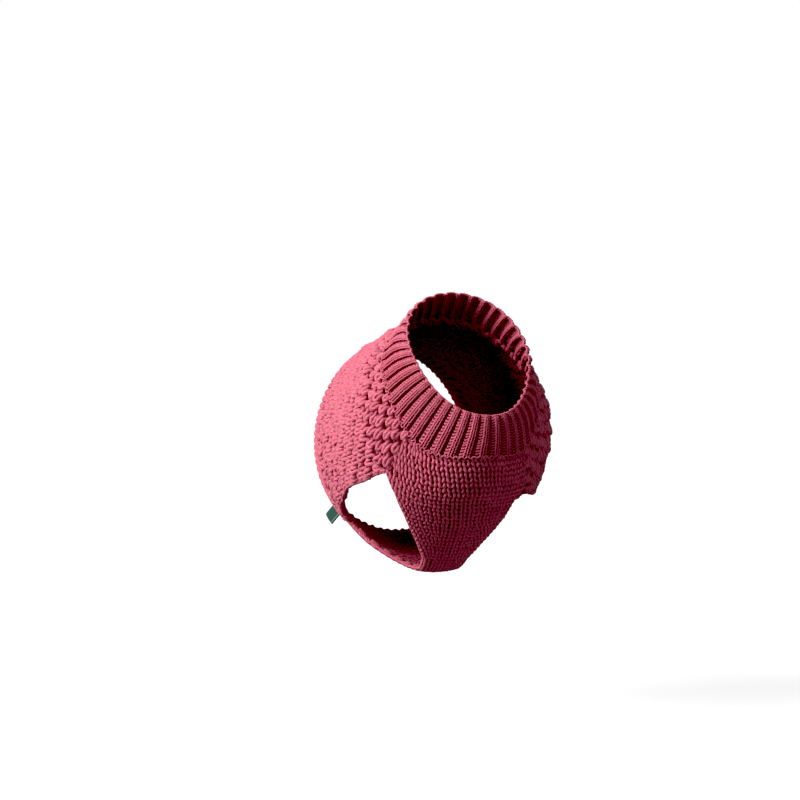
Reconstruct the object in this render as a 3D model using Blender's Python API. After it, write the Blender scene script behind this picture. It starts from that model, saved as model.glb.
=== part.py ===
"""Knitted sweater for a small dog, hollow and in its worn shape.

Five pieces: a ribbed collar, a bulky back panel, a front panel that runs from
the chest between the forelegs to the belly, a ribbed hem over the back, and a
small folded label in the side seam.

Frame: metres, +Z up. The wearer faces -Y and +X is the wearer's left. The
origin is where the back panel's inside rests on the withers.
"""
import math
from collections import namedtuple

import bmesh
import bpy
from mathutils import Vector

MM = 0.001
GARMENT = "dog_sweater"

# Rings of the cloth's face in mm, from the neck edge to the hem. Each leans in
# the YZ plane from its top point, over the back, to its low point, under the
# chest. lean moves it towards +X, egg widens its upper half, and bow pushes
# its lower corners towards the hem, off the ring's plane.
Ring = namedtuple("Ring", "station top_y top_z low_y low_z half_width lean egg bow")
RINGS = (
    Ring(0.00, -25, 19, -87, -43, 33.5, 5.5, 0.12, 2),    # neck edge
    Ring(0.50, -18, 12, -88, -53, 37.5, 4.0, 0.05, 4),    # middle of the collar
    Ring(1.00, -11, 5, -87, -64, 42.5, 2.5, 0.00, 8),     # collar seam
    Ring(1.25, -4, 3, -84, -75, 50.5, 2.5, 0.00, 9),      # fullness below the seam
    Ring(1.50, 3, 1, -76, -89, 54.5, 2.5, -0.08, 9),      # shoulders
    Ring(2.00, 16, -3, -51, -114, 56.5, 2.5, -0.08, 6),   # forelegs
    Ring(2.50, 29, -7, -23, -135, 54.0, 1.5, -0.04, 3),   # lowest point of the chest
    Ring(3.00, 42, -10, 5, -134, 51.0, 0.0, -0.02, 0),    # ribs
    Ring(3.50, 55, -14, 25, -129, 49.0, 0.0, -0.05, 0),   # belly
    Ring(4.00, 67, -18, 42, -123, 46.5, 0.0, -0.08, 0),   # hem
)

# The front and back panels' side edges, in degrees from the low centre line
# towards the wearer's right (-X) and left (+X). Where a side's two edges part,
# its leg hole is open. The front end sits turned towards the right, as worn.
Edge = namedtuple("Edge", "station front_right front_left back_right back_left")
EDGES = (
    Edge(1.00, 57.0, 39.5, 57.0, 39.5),   # collar seam
    Edge(1.45, 54.0, 33.0, 54.0, 33.0),   # front corner of the leg hole
    Edge(1.50, 50.0, 29.0, 56.0, 35.5),
    Edge(1.60, 42.5, 24.5, 58.5, 39.5),
    Edge(1.80, 33.0, 21.5, 62.0, 49.0),
    Edge(2.10, 21.5, 14.5, 68.0, 60.0),
    Edge(2.30, 14.5, 10.5, 71.5, 64.0),
    Edge(2.55, 12.0, 11.5, 70.0, 65.5),   # narrowest, between the forelegs
    Edge(2.78, 18.0, 19.0, 66.5, 64.5),
    Edge(2.94, 28.0, 28.0, 61.5, 61.5),
    Edge(3.06, 38.5, 38.5, 56.0, 56.0),
    Edge(3.15, 49.5, 49.5, 49.5, 49.5),   # rear corner of the leg hole
    Edge(4.00, 50.0, 50.0, 50.0, 50.0),   # side seam, at the hem
)
COLLAR_SEAM = 1.0
LEG_FRONT = 1.45
LEG_REAR = 3.15
HEM_SEAM = 3.38
HEM_EDGE = 4.0

SEAM_GAP = 0.3 * MM        # between the faces of two pieces
COLLAR_WALL = 2.2 * MM
BACK_WALL = 3.0 * MM
FRONT_WALL = 2.2 * MM
HEM_WALL = 2.2 * MM
LIP = 0.30                 # how far a free edge rounds out, in wall thicknesses

COLLAR_RIBS = 40
COLLAR_RIB_HEIGHT = 1.5 * MM
COLLAR_RIB_SHAPE = (0.0, 1.0, 1.0, 0.0)
COLLAR_ROWS = 5
# How far the collar's ribs lean between seam and neck edge, by their angle from
# the straightest one, in degrees. That one is turned towards -X, as worn.
Lean = namedtuple("Lean", "from_straight reach")
RIB_LEANS = (Lean(0, 0), Lean(33, 3.5), Lean(60, 8.5), Lean(75, 13), Lean(90, 17),
             Lean(105, 18), Lean(135, 13), Lean(180, 0))
STRAIGHT_RIB = math.pi + math.radians(22)
LEAN_EASE = 1.7             # above 1, a rib curves most near the neck edge
LEAN_PIVOT = 0.5            # the station where a leaning rib stays in its place
HEM_RIBS = 56
HEM_RIB_HEIGHT = 0.9 * MM
HEM_RIB_SHAPE = (0.0, 1.0, 1.0)
HEM_ROWS = 3

BACK_COLUMNS = 34
FRONT_COLUMNS = 16
FRONT_SEAM_ROWS = (COLLAR_SEAM, 1.11, 1.22, 1.33, LEG_FRONT)  # shared by both panels
SIDE_SEAM_ROWS = (LEG_REAR, 3.26, HEM_SEAM)
BACK_LEG_ROWS = (1.5, 1.6, 1.8, 1.95, 2.12, 2.28, 2.45, 2.61, 2.78)
FRONT_LEG_ROWS = (1.5, 1.6, 1.7, 1.81, 1.92, 2.02, 2.13, 2.24, 2.35, 2.46, 2.56, 2.67, 2.78)
LEG_END_ROWS = (2.87, 2.94, 3.0, 3.06, 3.11)   # closer, where the leg hole rounds off
SELVEDGE_HEIGHT = 1.2 * MM  # rolled edge of the back panel at the leg hole

LABEL_STATION = 3.785
LABEL_SIZE = (14.0 * MM, 7.0 * MM, 1.0 * MM)   # along the seam, out of it, thickness
LABEL_CLEARANCE = 0.5 * MM
LABEL_SAG = 0.2             # how far it droops from the cloth's normal

ARC_SAMPLES = 720           # steps that measure a ring's length
SHARP_ANGLE = math.radians(50)

COLOURS = {
    "knit_rib": (0.46, 0.09, 0.17, 1.0),
    "knit_back": (0.50, 0.10, 0.19, 1.0),
    "knit_front": (0.42, 0.08, 0.15, 1.0),
    "label_cloth": (0.03, 0.16, 0.12, 1.0),
}


def reset_scene():
    for old in list(bpy.data.objects):
        bpy.data.objects.remove(old)


def row_between(rows, station):
    """The row of a table at a station, by a smooth curve through its rows."""
    last = len(rows) - 1
    at = min(max(station, rows[0].station), rows[last].station)
    low = 0
    while low < last - 1 and rows[low + 1].station <= at:
        low += 1
    a, b = rows[low], rows[low + 1]
    before = rows[max(low - 1, 0)]
    after = rows[min(low + 2, last)]
    span = b.station - a.station
    t = (at - a.station) / span
    values = []
    for p, q, r, s in zip(before, a, b, after):
        slope_a = (r - p) / (b.station - before.station) * span
        slope_b = (s - q) / (after.station - a.station) * span
        values.append(
            q * (2 * t**3 - 3 * t**2 + 1) + slope_a * (t**3 - 2 * t**2 + t)
            + r * (3 * t**2 - 2 * t**3) + slope_b * (t**3 - t**2))
    return rows[0]._make(values)


def edge_at(station):
    """Side edges at a station, straight between the rows of EDGES."""
    for a, b in zip(EDGES, EDGES[1:]):
        if station <= b.station:
            t = (station - a.station) / (b.station - a.station)
            return Edge(*(p + (q - p) * t for p, q in zip(a, b)))
    return EDGES[-1]


def face_point(angle, station):
    """A point of the cloth's face. angle is 0 over the back, pi underneath."""
    ring = row_between(RINGS, station)
    side, up = math.sin(angle), math.cos(angle)
    half_y = (ring.top_y - ring.low_y) / 2
    half_z = (ring.top_z - ring.low_z) / 2
    push = ring.bow * math.sin(2 * angle)**2 if up < 0 else 0.0
    push /= math.hypot(half_y, half_z)
    x = ring.lean + ring.half_width * side * (1 + ring.egg * up)
    y = ring.low_y + half_y * (1 + up) + push * half_z
    z = ring.low_z + half_z * (1 + up) - push * half_y
    return Vector((x, y, z)) * MM


def face_frame(angle, station):
    """Outward normal, and the face's stretch along angle and station."""
    step = 1e-3
    around = (face_point(angle + step, station)
              - face_point(angle - step, station)) / (2 * step)
    low = max(station - step, RINGS[0].station)
    high = min(station + step, RINGS[-1].station)
    along = (face_point(angle, high) - face_point(angle, low)) / (high - low)
    return around.cross(along).normalized(), around, along


def spread(first, last, count):
    return [first + (last - first) * k / (count - 1) for k in range(count)]


def even_angles(count, station, first, last):
    """Angles that cut the ring's stretch from first to last into equal arcs."""
    angles = spread(first, last, ARC_SAMPLES + 1)
    points = [face_point(angle, station) for angle in angles]
    lengths = [0.0]
    for p, q in zip(points, points[1:]):
        lengths.append(lengths[-1] + (q - p).length)
    result, k = [], 0
    for n in range(count + 1):
        target = lengths[-1] * n / count
        while k < ARC_SAMPLES - 1 and lengths[k + 1] < target:
            k += 1
        part = (target - lengths[k]) / (lengths[k + 1] - lengths[k])
        result.append(angles[k] + (angles[k + 1] - angles[k]) * part)
    return result


def station_step(angle, station, distance):
    """How much station changes over a distance along the cloth."""
    return distance / face_frame(angle, station)[2].length


def angle_step(angle, station, distance):
    return distance / face_frame(angle, station)[1].length


def wall_points(places, heights, wall):
    """Outer and inner points of a wall over a grid of (angle, station)."""
    outer, inner = [], []
    for column, column_heights in zip(places, heights):
        faces = [(face_point(*place), face_frame(*place)[0]) for place in column]
        outer.append([p + n * h for (p, n), h in zip(faces, column_heights)])
        inner.append([p - n * wall for p, n in faces])
    return outer, inner


def border_of(columns, rows, closed):
    """Index pairs around the grid's border, as closed loops."""
    if closed:
        return [[(i, 0) for i in range(columns)],
                [(i, rows - 1) for i in reversed(range(columns))]]
    return [[(i, 0) for i in range(columns - 1)]
            + [(columns - 1, j) for j in range(rows - 1)]
            + [(i, rows - 1) for i in range(columns - 1, 0, -1)]
            + [(0, j) for j in range(rows - 1, 0, -1)]]


def inward(index, columns, rows):
    """The grid neighbour that lies straight in from the border."""
    i, j = index
    if j in (0, rows - 1):
        return i, j + (1 if j == 0 else -1)
    return i + (1 if i == 0 else -1), j


def wall_object(name, places, heights, wall, material, closed=False, lip=None):
    """A closed cloth wall: raised outer face, plain inner face, rounded edges."""
    outer, inner = wall_points(places, heights, wall)
    columns, rows = len(outer), len(outer[0])
    mesh = bmesh.new()
    top = [[mesh.verts.new(p) for p in column] for column in outer]
    low = [[mesh.verts.new(p) for p in column] for column in inner]
    for i in range(columns if closed else columns - 1):
        k = (i + 1) % columns
        for j in range(rows - 1):
            mesh.faces.new((top[i][j], top[k][j], top[k][j + 1], top[i][j + 1]))
            mesh.faces.new((low[i][j], low[i][j + 1], low[k][j + 1], low[k][j]))
    for loop in border_of(columns, rows, closed):
        middles = []
        for index in loop:
            i, j = index
            m, n = inward(index, columns, rows)
            middle = (outer[i][j] + inner[i][j]) / 2
            away = middle - (outer[m][n] + inner[m][n]) / 2
            round_out = lip(*places[i][j]) * wall if lip else 0.0
            middles.append(mesh.verts.new(middle + away.normalized() * round_out))
        for a, b in zip(range(len(loop)), [*range(1, len(loop)), 0]):
            (i, j), (k, m) = loop[a], loop[b]
            mesh.faces.new((top[k][m], top[i][j], middles[a], middles[b]))
            mesh.faces.new((middles[b], middles[a], low[i][j], low[k][m]))
    return add_object(name, mesh, material)


def add_object(name, mesh, material):
    data = bpy.data.meshes.new(name)
    bmesh.ops.recalc_face_normals(mesh, faces=mesh.faces)
    mesh.to_mesh(data)
    mesh.free()
    data.shade_smooth()
    data.set_sharp_from_angle(angle=SHARP_ANGLE)
    data.materials.append(material)
    piece = bpy.data.objects.new(name, data)
    bpy.data.collections[GARMENT].objects.link(piece)
    return piece


def cloth_material(name):
    material = bpy.data.materials.new(name)
    material.use_nodes = True
    shader = material.node_tree.nodes["Principled BSDF"]
    shader.inputs["Base Color"].default_value = COLOURS[name]
    shader.inputs["Roughness"].default_value = 0.9
    shader.inputs["Metallic"].default_value = 0.0
    return material


def ribs_along(columns, shape, height, rows, ends):
    """Rib heights over a grid, lower where the ribs begin and end."""
    heights = []
    for k in range(columns):
        crest = shape[k % len(shape)] * height
        column = [crest] * rows
        column[0] *= ends[0]
        column[-1] *= ends[1]
        heights.append(column)
    return heights


def neck_lip(angle, station):
    """The collar's end that is free, in wall thicknesses; its seam end is flat."""
    return LIP if station < COLLAR_SEAM / 2 else 0.0


def leg_lip(angle, station):
    return LIP if LEG_FRONT < station < LEG_REAR else 0.0


def hem_lip(angle, station):
    return LIP if station >= HEM_EDGE else leg_lip(angle, station)


def rib_lean(angle, station):
    """How far a rib of the collar leans at a station, square to the neck edge there."""
    from_straight = (angle - STRAIGHT_RIB + math.pi) % (2 * math.pi) - math.pi
    size = math.degrees(abs(from_straight))
    for a, b in zip(RIB_LEANS, RIB_LEANS[1:]):
        if size <= b.from_straight:
            break
    part = (size - a.from_straight) / (b.from_straight - a.from_straight)
    reach = math.radians(a.reach + (b.reach - a.reach) * part)
    eased = (1 - LEAN_PIVOT)**LEAN_EASE - (1 - station / COLLAR_SEAM)**LEAN_EASE
    return math.copysign(reach, from_straight) * eased


def build_collar():
    count = COLLAR_RIBS * len(COLLAR_RIB_SHAPE)
    angles = even_angles(count, COLLAR_SEAM / 2, 0.0, 2 * math.pi)[:-1]
    places = []
    for angle in angles:
        inset = station_step(angle, COLLAR_SEAM, SEAM_GAP / 2)
        places.append([(angle + rib_lean(angle, s), s)
                       for s in spread(0.0, COLLAR_SEAM - inset, COLLAR_ROWS)])
    heights = ribs_along(count, COLLAR_RIB_SHAPE, COLLAR_RIB_HEIGHT, COLLAR_ROWS, (0.8, 0.6))
    return wall_object("collar", places, heights, COLLAR_WALL,
                       cloth_material("knit_rib"), closed=True, lip=neck_lip)


def side_edges(station, panel):
    """Angles of a panel's two side edges, half a seam gap in from the seams."""
    edge = edge_at(station)
    left, right = ((edge.front_left, edge.front_right) if panel == "front"
                   else (edge.back_left, edge.back_right))
    low = math.pi - math.radians(left)
    high = math.pi + math.radians(right)
    gap_low = angle_step(low, station, SEAM_GAP / 2)
    gap_high = angle_step(high, station, SEAM_GAP / 2)
    if panel == "front":
        return low + gap_low, high - gap_high
    return high + gap_high - 2 * math.pi, low - gap_low


def panel_places(stations, columns, panel):
    """Grid over a panel, column by column, evenly spaced along each ring."""
    rows = []
    for n, station in enumerate(stations):
        first, last = side_edges(station, panel)
        row = even_angles(columns, station, first, last)
        inset = 0.0
        if n == 0:
            inset = SEAM_GAP / 2
        elif n == len(stations) - 1 and station < HEM_EDGE:
            inset = -SEAM_GAP / 2
        rows.append([(a, station + station_step(a, station, inset)) for a in row])
    return [list(column) for column in zip(*rows)]


def build_back_panel():
    stations = [*FRONT_SEAM_ROWS, *BACK_LEG_ROWS, *LEG_END_ROWS, *SIDE_SEAM_ROWS]
    places = panel_places(stations, BACK_COLUMNS, "back")
    heights = []
    for k, column in enumerate(places):
        rim = SELVEDGE_HEIGHT if k in (0, len(places) - 1) else 0.0
        heights.append([rim if leg_lip(*place) else 0.0 for place in column])
    return wall_object("back_panel", places, heights, BACK_WALL,
                       cloth_material("knit_back"), lip=leg_lip)


def build_front_panel():
    stations = [*FRONT_SEAM_ROWS, *FRONT_LEG_ROWS, *LEG_END_ROWS, *SIDE_SEAM_ROWS[:-1],
                *spread(HEM_SEAM, HEM_EDGE, HEM_ROWS)]
    places = panel_places(stations, FRONT_COLUMNS, "front")
    heights = [[0.0] * len(column) for column in places]
    return wall_object("front_panel", places, heights, FRONT_WALL,
                       cloth_material("knit_front"), lip=hem_lip)


def build_hem_rib():
    stations = spread(HEM_SEAM, HEM_EDGE, HEM_ROWS)
    places = panel_places(stations, HEM_RIBS * len(HEM_RIB_SHAPE), "back")
    heights = ribs_along(len(places), HEM_RIB_SHAPE, HEM_RIB_HEIGHT, HEM_ROWS, (0.6, 0.8))
    return wall_object("hem_rib", places, heights, HEM_WALL,
                       cloth_material("knit_rib"), lip=hem_lip)


def build_label():
    """A folded tab that stands out of the side seam on the wearer's right."""
    along, out, thick = LABEL_SIZE
    angle = math.pi + math.radians(edge_at(LABEL_STATION).back_right)
    normal, around, run = face_frame(angle, LABEL_STATION)
    run = run.normalized()
    away = (normal - around.normalized() * LABEL_SAG).normalized()
    across = run.cross(away).normalized()
    root = face_point(angle, LABEL_STATION) + normal * (HEM_RIB_HEIGHT + LABEL_CLEARANCE)
    mesh = bmesh.new()
    bmesh.ops.create_cube(mesh, size=1.0)
    for vert in mesh.verts:
        x, y, z = vert.co
        reach = away * (0.5 - z) * out
        vert.co = root + run * x * along + across * y * thick + reach
    bmesh.ops.bevel(mesh, geom=mesh.edges[:], offset=0.25 * thick, segments=2, affect="EDGES")
    return add_object("label", mesh, cloth_material("label_cloth"))


def main():
    reset_scene()
    bpy.context.scene.collection.children.link(bpy.data.collections.new(GARMENT))
    build_collar()
    build_back_panel()
    build_front_panel()
    build_hem_rib()
    build_label()


main()
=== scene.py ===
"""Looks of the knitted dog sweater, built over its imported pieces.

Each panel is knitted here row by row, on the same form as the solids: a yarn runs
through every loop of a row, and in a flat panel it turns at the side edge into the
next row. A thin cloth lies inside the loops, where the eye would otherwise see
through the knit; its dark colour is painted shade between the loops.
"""

import math
from collections import namedtuple

import bpy
import numpy as np
from mathutils import Matrix, Vector


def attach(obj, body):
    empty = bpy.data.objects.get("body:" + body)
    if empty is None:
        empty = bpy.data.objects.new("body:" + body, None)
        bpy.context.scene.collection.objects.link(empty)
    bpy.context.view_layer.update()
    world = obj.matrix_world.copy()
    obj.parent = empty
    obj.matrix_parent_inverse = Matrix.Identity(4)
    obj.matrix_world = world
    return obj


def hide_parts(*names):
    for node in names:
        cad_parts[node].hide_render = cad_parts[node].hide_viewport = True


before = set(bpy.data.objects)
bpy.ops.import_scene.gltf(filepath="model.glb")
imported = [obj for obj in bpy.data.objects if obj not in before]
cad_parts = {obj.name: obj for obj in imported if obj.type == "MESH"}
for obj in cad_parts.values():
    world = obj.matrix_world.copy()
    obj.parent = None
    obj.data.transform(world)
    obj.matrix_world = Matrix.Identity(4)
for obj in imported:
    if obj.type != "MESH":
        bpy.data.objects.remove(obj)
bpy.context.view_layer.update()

MM = 0.001
TURN = 2 * math.pi
RANDOM = np.random.default_rng(11)

# ---------------------------------------------------------------- the form
# Rings of the cloth's face in mm, as in the solids: each leans from its top
# point, over the back, to its low point, under the chest.
Ring = namedtuple("Ring", "station top_y top_z low_y low_z half_width lean egg bow")
RINGS = (
    Ring(0.00, -25, 19, -87, -43, 33.5, 5.5, 0.12, 2),    # neck edge
    Ring(0.50, -18, 12, -88, -53, 37.5, 4.0, 0.05, 4),    # middle of the collar
    Ring(1.00, -11, 5, -87, -64, 42.5, 2.5, 0.00, 8),     # collar seam
    Ring(1.25, -4, 3, -84, -75, 50.5, 2.5, 0.00, 9),      # fullness below the seam
    Ring(1.50, 3, 1, -76, -89, 54.5, 2.5, -0.08, 9),      # shoulders
    Ring(2.00, 16, -3, -51, -114, 56.5, 2.5, -0.08, 6),   # forelegs
    Ring(2.50, 29, -7, -23, -135, 54.0, 1.5, -0.04, 3),   # lowest point of the chest
    Ring(3.00, 42, -10, 5, -134, 51.0, 0.0, -0.02, 0),    # ribs
    Ring(3.50, 55, -14, 25, -129, 49.0, 0.0, -0.05, 0),   # belly
    Ring(4.00, 67, -18, 42, -123, 46.5, 0.0, -0.08, 0),   # hem
)
# The front and back panels' side edges, in degrees from the low centre line
# towards the wearer's right (-X) and left (+X).
Edge = namedtuple("Edge", "station front_right front_left back_right back_left")
EDGES = (
    Edge(1.00, 57.0, 39.5, 57.0, 39.5),   # collar seam
    Edge(1.45, 54.0, 33.0, 54.0, 33.0),   # front corner of the leg hole
    Edge(1.50, 50.0, 29.0, 56.0, 35.5),
    Edge(1.60, 42.5, 24.5, 58.5, 39.5),
    Edge(1.80, 33.0, 21.5, 62.0, 49.0),
    Edge(2.10, 21.5, 14.5, 68.0, 60.0),
    Edge(2.30, 14.5, 10.5, 71.5, 64.0),
    Edge(2.55, 12.0, 11.5, 70.0, 65.5),   # narrowest, between the forelegs
    Edge(2.78, 18.0, 19.0, 66.5, 64.5),
    Edge(2.94, 28.0, 28.0, 61.5, 61.5),
    Edge(3.06, 38.5, 38.5, 56.0, 56.0),
    Edge(3.15, 49.5, 49.5, 49.5, 49.5),   # rear corner of the leg hole
    Edge(4.00, 50.0, 50.0, 50.0, 50.0),   # side seam, at the hem
)
COLLAR_SEAM = 1.0
LEG_FRONT = 1.45
LEG_REAR = 3.15
HEM_SEAM = 3.38
HEM_EDGE = 4.0

# ---------------------------------------------------------------- the knit
# Sizes in mm. depth is how far a loop weaves in and out of the cloth's middle,
# middle is that middle's height over the solid's face, reach is half a loop's
# height in rows, swing is how far its legs lean, in columns, and uneven how much
# the loops differ. sides go round the yarn, and steps along each loop.
Gauge = namedtuple("Gauge", "rows radius depth middle reach swing uneven sides steps")
COLLAR_GAUGE = Gauge(15, 0.50, 0.48, 0.0, 0.70, 0.21, 0.8, 5, 8)
BACK_GAUGE = Gauge(28, 1.30, 1.00, -0.75, 0.66, 0.14, 1.8, 6, 12)
FRONT_GAUGE = Gauge(54, 0.92, 0.98, -0.95, 0.59, 0.17, 1.0, 8, 14)
HEM_GAUGE = Gauge(10, 0.46, 0.42, 0.0, 0.72, 0.20, 0.8, 5, 8)
# How much loops of uneven 1 differ: in their lean and depth, as shares, and in
# their place, in columns and rows.
SWING_NOISE = 0.18
DEPTH_NOISE = 0.10
COLUMN_NOISE = 0.035
ROW_NOISE = 0.07
PLUMP_NOISE = 0.05              # how much the yarn's thickness changes, as a share
NOISE_LIMIT = 2                 # the furthest draw used, in standard deviations
EDGE_TURN = 0.12                # how far the yarn swings out at a side edge, in columns
EDGE_TURN_STEPS = np.array([0.25, 0.5, 0.75])
# painted shade: yarn that lies low in the relief is darkened at this rate
LOW_SHADE_RATE = 0.18                 # how fast yarn darkens with depth in the relief, per mm

# Ribs: the crest's and valley's height over the face in mm, the share of a rib
# that its knit columns take, how much of its height is left at both ends, and how
# far on the first one starts, in columns.
Rib = namedtuple("Rib", "crest valley knit_share fade_first fade_last shift")
COLLAR_RIB = Rib(1.10, -1.40, 0.66, 0.45, 0.85, 0.5)
HEM_RIB = Rib(0.90, -0.90, 0.62, 0.8, 0.3, 1.0)
COLLAR_RIBS = 40
HEM_RIBS = 56
RIB_COLUMNS = 4                 # two knit, two purl
RIB_DIP = 0.112                 # half the valley's width, in ribs
RIB_CROWN = 0.25                # how far the crest falls to its sides, as a share
FIRST_FADE = 0.10               # how far the ribs' fades reach in from both ends,
LAST_FADE = 0.14                # as shares of their length
FADE_LEVEL = 0.35               # height that ribs fade to, as a share above the valley
# How far the collar's ribs lean from neck to seam, by the angle from the lowest
# one, all in degrees. The lowest rib is turned towards -X with the wearer's neck.
RIB_LEAN = ((0, 0), (33, 3.5), (60, 8.5), (75, 13), (90, 17), (105, 18), (135, 13), (180, 0))
RIB_LEAN_TURN = math.radians(22)
LEAN_EASE = 1.7                 # the higher, the sooner they straighten to the seam

SEAM_STITCHES = 97
SEAM_STEPS = 12                 # points in one stitch
SEAM_REACH = 0.06               # of its strip of cloth, in stations to either side
SEAM_HEIGHT = 1.35              # of the linking thread over the cloth's face, mm
SEAM_SWING = 0.60 * MM          # how far it swings to either side of the seam
SEAM_UNEVEN = 0.2               # how much the swing differs, as a share
SEAM_WAVE = 0.18 * MM           # how far it rises and sinks
SEAM_THREAD = 0.38 * MM         # its radius

BACK_COLUMNS = 59
# Soft lumps in the back: height in mm, waves across and along, and phase.
BACK_LUMPS = ((0.42, 21, 6.3, 0.4), (0.36, 17, -8.2, 2.1), (0.25, 5.2, 9.1, 1.0),
              (0.20, 11.3, 3.1, 4.0))

CHEST_ROWS = 31                 # the other rows of the front are the belly's
# The front's column widths in mm, by station.
FRONT_PITCHES = ((1.00, 4.8), (1.45, 4.9), (2.00, 4.3), (2.55, 3.6), (3.15, 4.4), (4.00, 4.7))
# Each front column's place in the order in which columns last as the panel narrows,
# from the middle one outwards. A column ends when less than this share is left.
FRONT_COLUMN_RANKS = (0, 2, 5, 8, 4, 10, 7, 3, 9, 6, 1, 11, 12)
FRONT_COLUMN_ENDS = 0.45
# How much wider than the panel its fan of columns is at the collar seam, on the
# wearer's left and right, in panel widths: the edges above the leg holes cut across it.
FRONT_FAN = (0.06, 0.30)

# Plaited edges: the plait's periods along the edge, and in mm the strands' radius
# and how far they swing across it and out.
Plait = namedtuple("Plait", "periods radius width height sides")
NECK_PLAIT = Plait(80, 0.40, 0.55, 0.35, 5)
LEG_PLAIT = Plait(22, 0.72, 0.85, 0.60, 6)
CHEST_PLAIT = Plait(32, 0.62, 0.50, 0.45, 6)
BELLY_PLAIT = Plait(26, 0.60, 0.70, 0.50, 6)
HEM_PLAIT = Plait(84, 0.42, 0.55, 0.35, 5)
PLAIT_STEPS = 12                # points in one period
LEG_PLAIT_LIFT = 0.4 * MM       # how far out of the cloth's middle it lies

# The thin cloth inside the loops: its cells, and where it starts and ends along
# the panel, a little under its neighbour where they meet.
Backing = namedtuple("Backing", "columns rows first last")
COLLAR_BACKING = Backing(COLLAR_RIBS * 8, 12, 0.0, 1.05)
BACK_BACKING = Backing(120, 48, -0.012, 1.01)
FRONT_BACKING = Backing(48, 80, -0.006, 1.0)
HEM_BACKING = Backing(HEM_RIBS * 6, 8, -0.05, 1.0)
BACKING_THICK = 0.3 * MM

LABEL_STATION = 3.785
LABEL_SIZE = (14.0 * MM, 8.4 * MM, 1.0 * MM)    # along the seam, out of it, thickness
LABEL_ROOT = 1.0 * MM           # how deep it goes into the seam
LABEL_TAPE = 0.35 * MM
LABEL_CURL = 0.5 * MM           # how far its middle rises at the fold
LABEL_CURL_FALL = 1.6           # how much lower its sides are there, in LABEL_CURL
LABEL_SAG = 0.2                 # how far it droops from the cloth's normal
LABEL_STEPS = 9                 # points along each half of it, and round its fold
LABEL_COLUMNS = 13


def unit(vectors):
    return vectors / np.linalg.norm(vectors, axis=-1, keepdims=True)


RING_TABLE = np.array(RINGS, dtype=float)
EDGE_TABLE = np.array(EDGES, dtype=float)
RING_STATIONS = RING_TABLE[:, 0]


def ring_at(station):
    """Ring sizes at stations, by a smooth curve through the rows of RINGS."""
    low = np.clip(np.searchsorted(RING_STATIONS, station, side="right") - 1,
                  0, len(RINGS) - 2)
    before = np.maximum(low - 1, 0)
    after = np.minimum(low + 2, len(RINGS) - 1)
    start, end = RING_STATIONS[low], RING_STATIONS[low + 1]
    span = (end - start)[..., None]
    t = (station - start)[..., None] / span
    p, q, r, s = (RING_TABLE[k] for k in (before, low, low + 1, after))
    slope_q = (r - p) / (end - RING_STATIONS[before])[..., None] * span
    slope_r = (s - q) / (RING_STATIONS[after] - start)[..., None] * span
    return (q * (2 * t**3 - 3 * t**2 + 1) + slope_q * (t**3 - 2 * t**2 + t)
            + r * (3 * t**2 - 2 * t**3) + slope_r * (t**3 - t**2))


def face(angle, station):
    """Points of the cloth's face, in metres. angle is 0 over the back."""
    angle, station = np.broadcast_arrays(angle, station)
    ring = ring_at(station)
    top_y, top_z, low_y, low_z, half_width, lean, egg, bow = (
        ring[..., k] for k in range(1, 9))
    side, up = np.sin(angle), np.cos(angle)
    half_y, half_z = (top_y - low_y) / 2, (top_z - low_z) / 2
    push = np.where(up < 0, bow * np.sin(2 * angle)**2, 0) / np.hypot(half_y, half_z)
    x = lean + half_width * side * (1 + egg * up)
    y = low_y + half_y * (1 + up) + push * half_z
    z = low_z + half_z * (1 + up) - push * half_y
    return np.stack([x, y, z], axis=-1) * MM


def surface(angle, station):
    """Face points with the outward normal and the directions around and along."""
    step = 1e-3
    inside = np.clip(station, RING_STATIONS[0], RING_STATIONS[-1])
    around = face(angle + step, inside) - face(angle - step, inside)
    low = np.maximum(inside - step, RING_STATIONS[0])
    high = np.minimum(inside + step, RING_STATIONS[-1])
    along = (face(angle, high) - face(angle, low)) / (high - low)[..., None]
    point = face(angle, inside) + along * (station - inside)[..., None]
    around = unit(around)
    normal = unit(np.cross(around, along))
    return point, normal, around, unit(along)


def extend(x, xs, ys):
    """Interpolation that goes straight on past both ends."""
    inside = np.clip(x, xs[0], xs[-1])
    first = (ys[1] - ys[0]) / (xs[1] - xs[0])
    last = (ys[-1] - ys[-2]) / (xs[-1] - xs[-2])
    slope = np.where(x < inside, first, last)
    return np.interp(inside, xs, ys) + (x - inside) * slope


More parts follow.
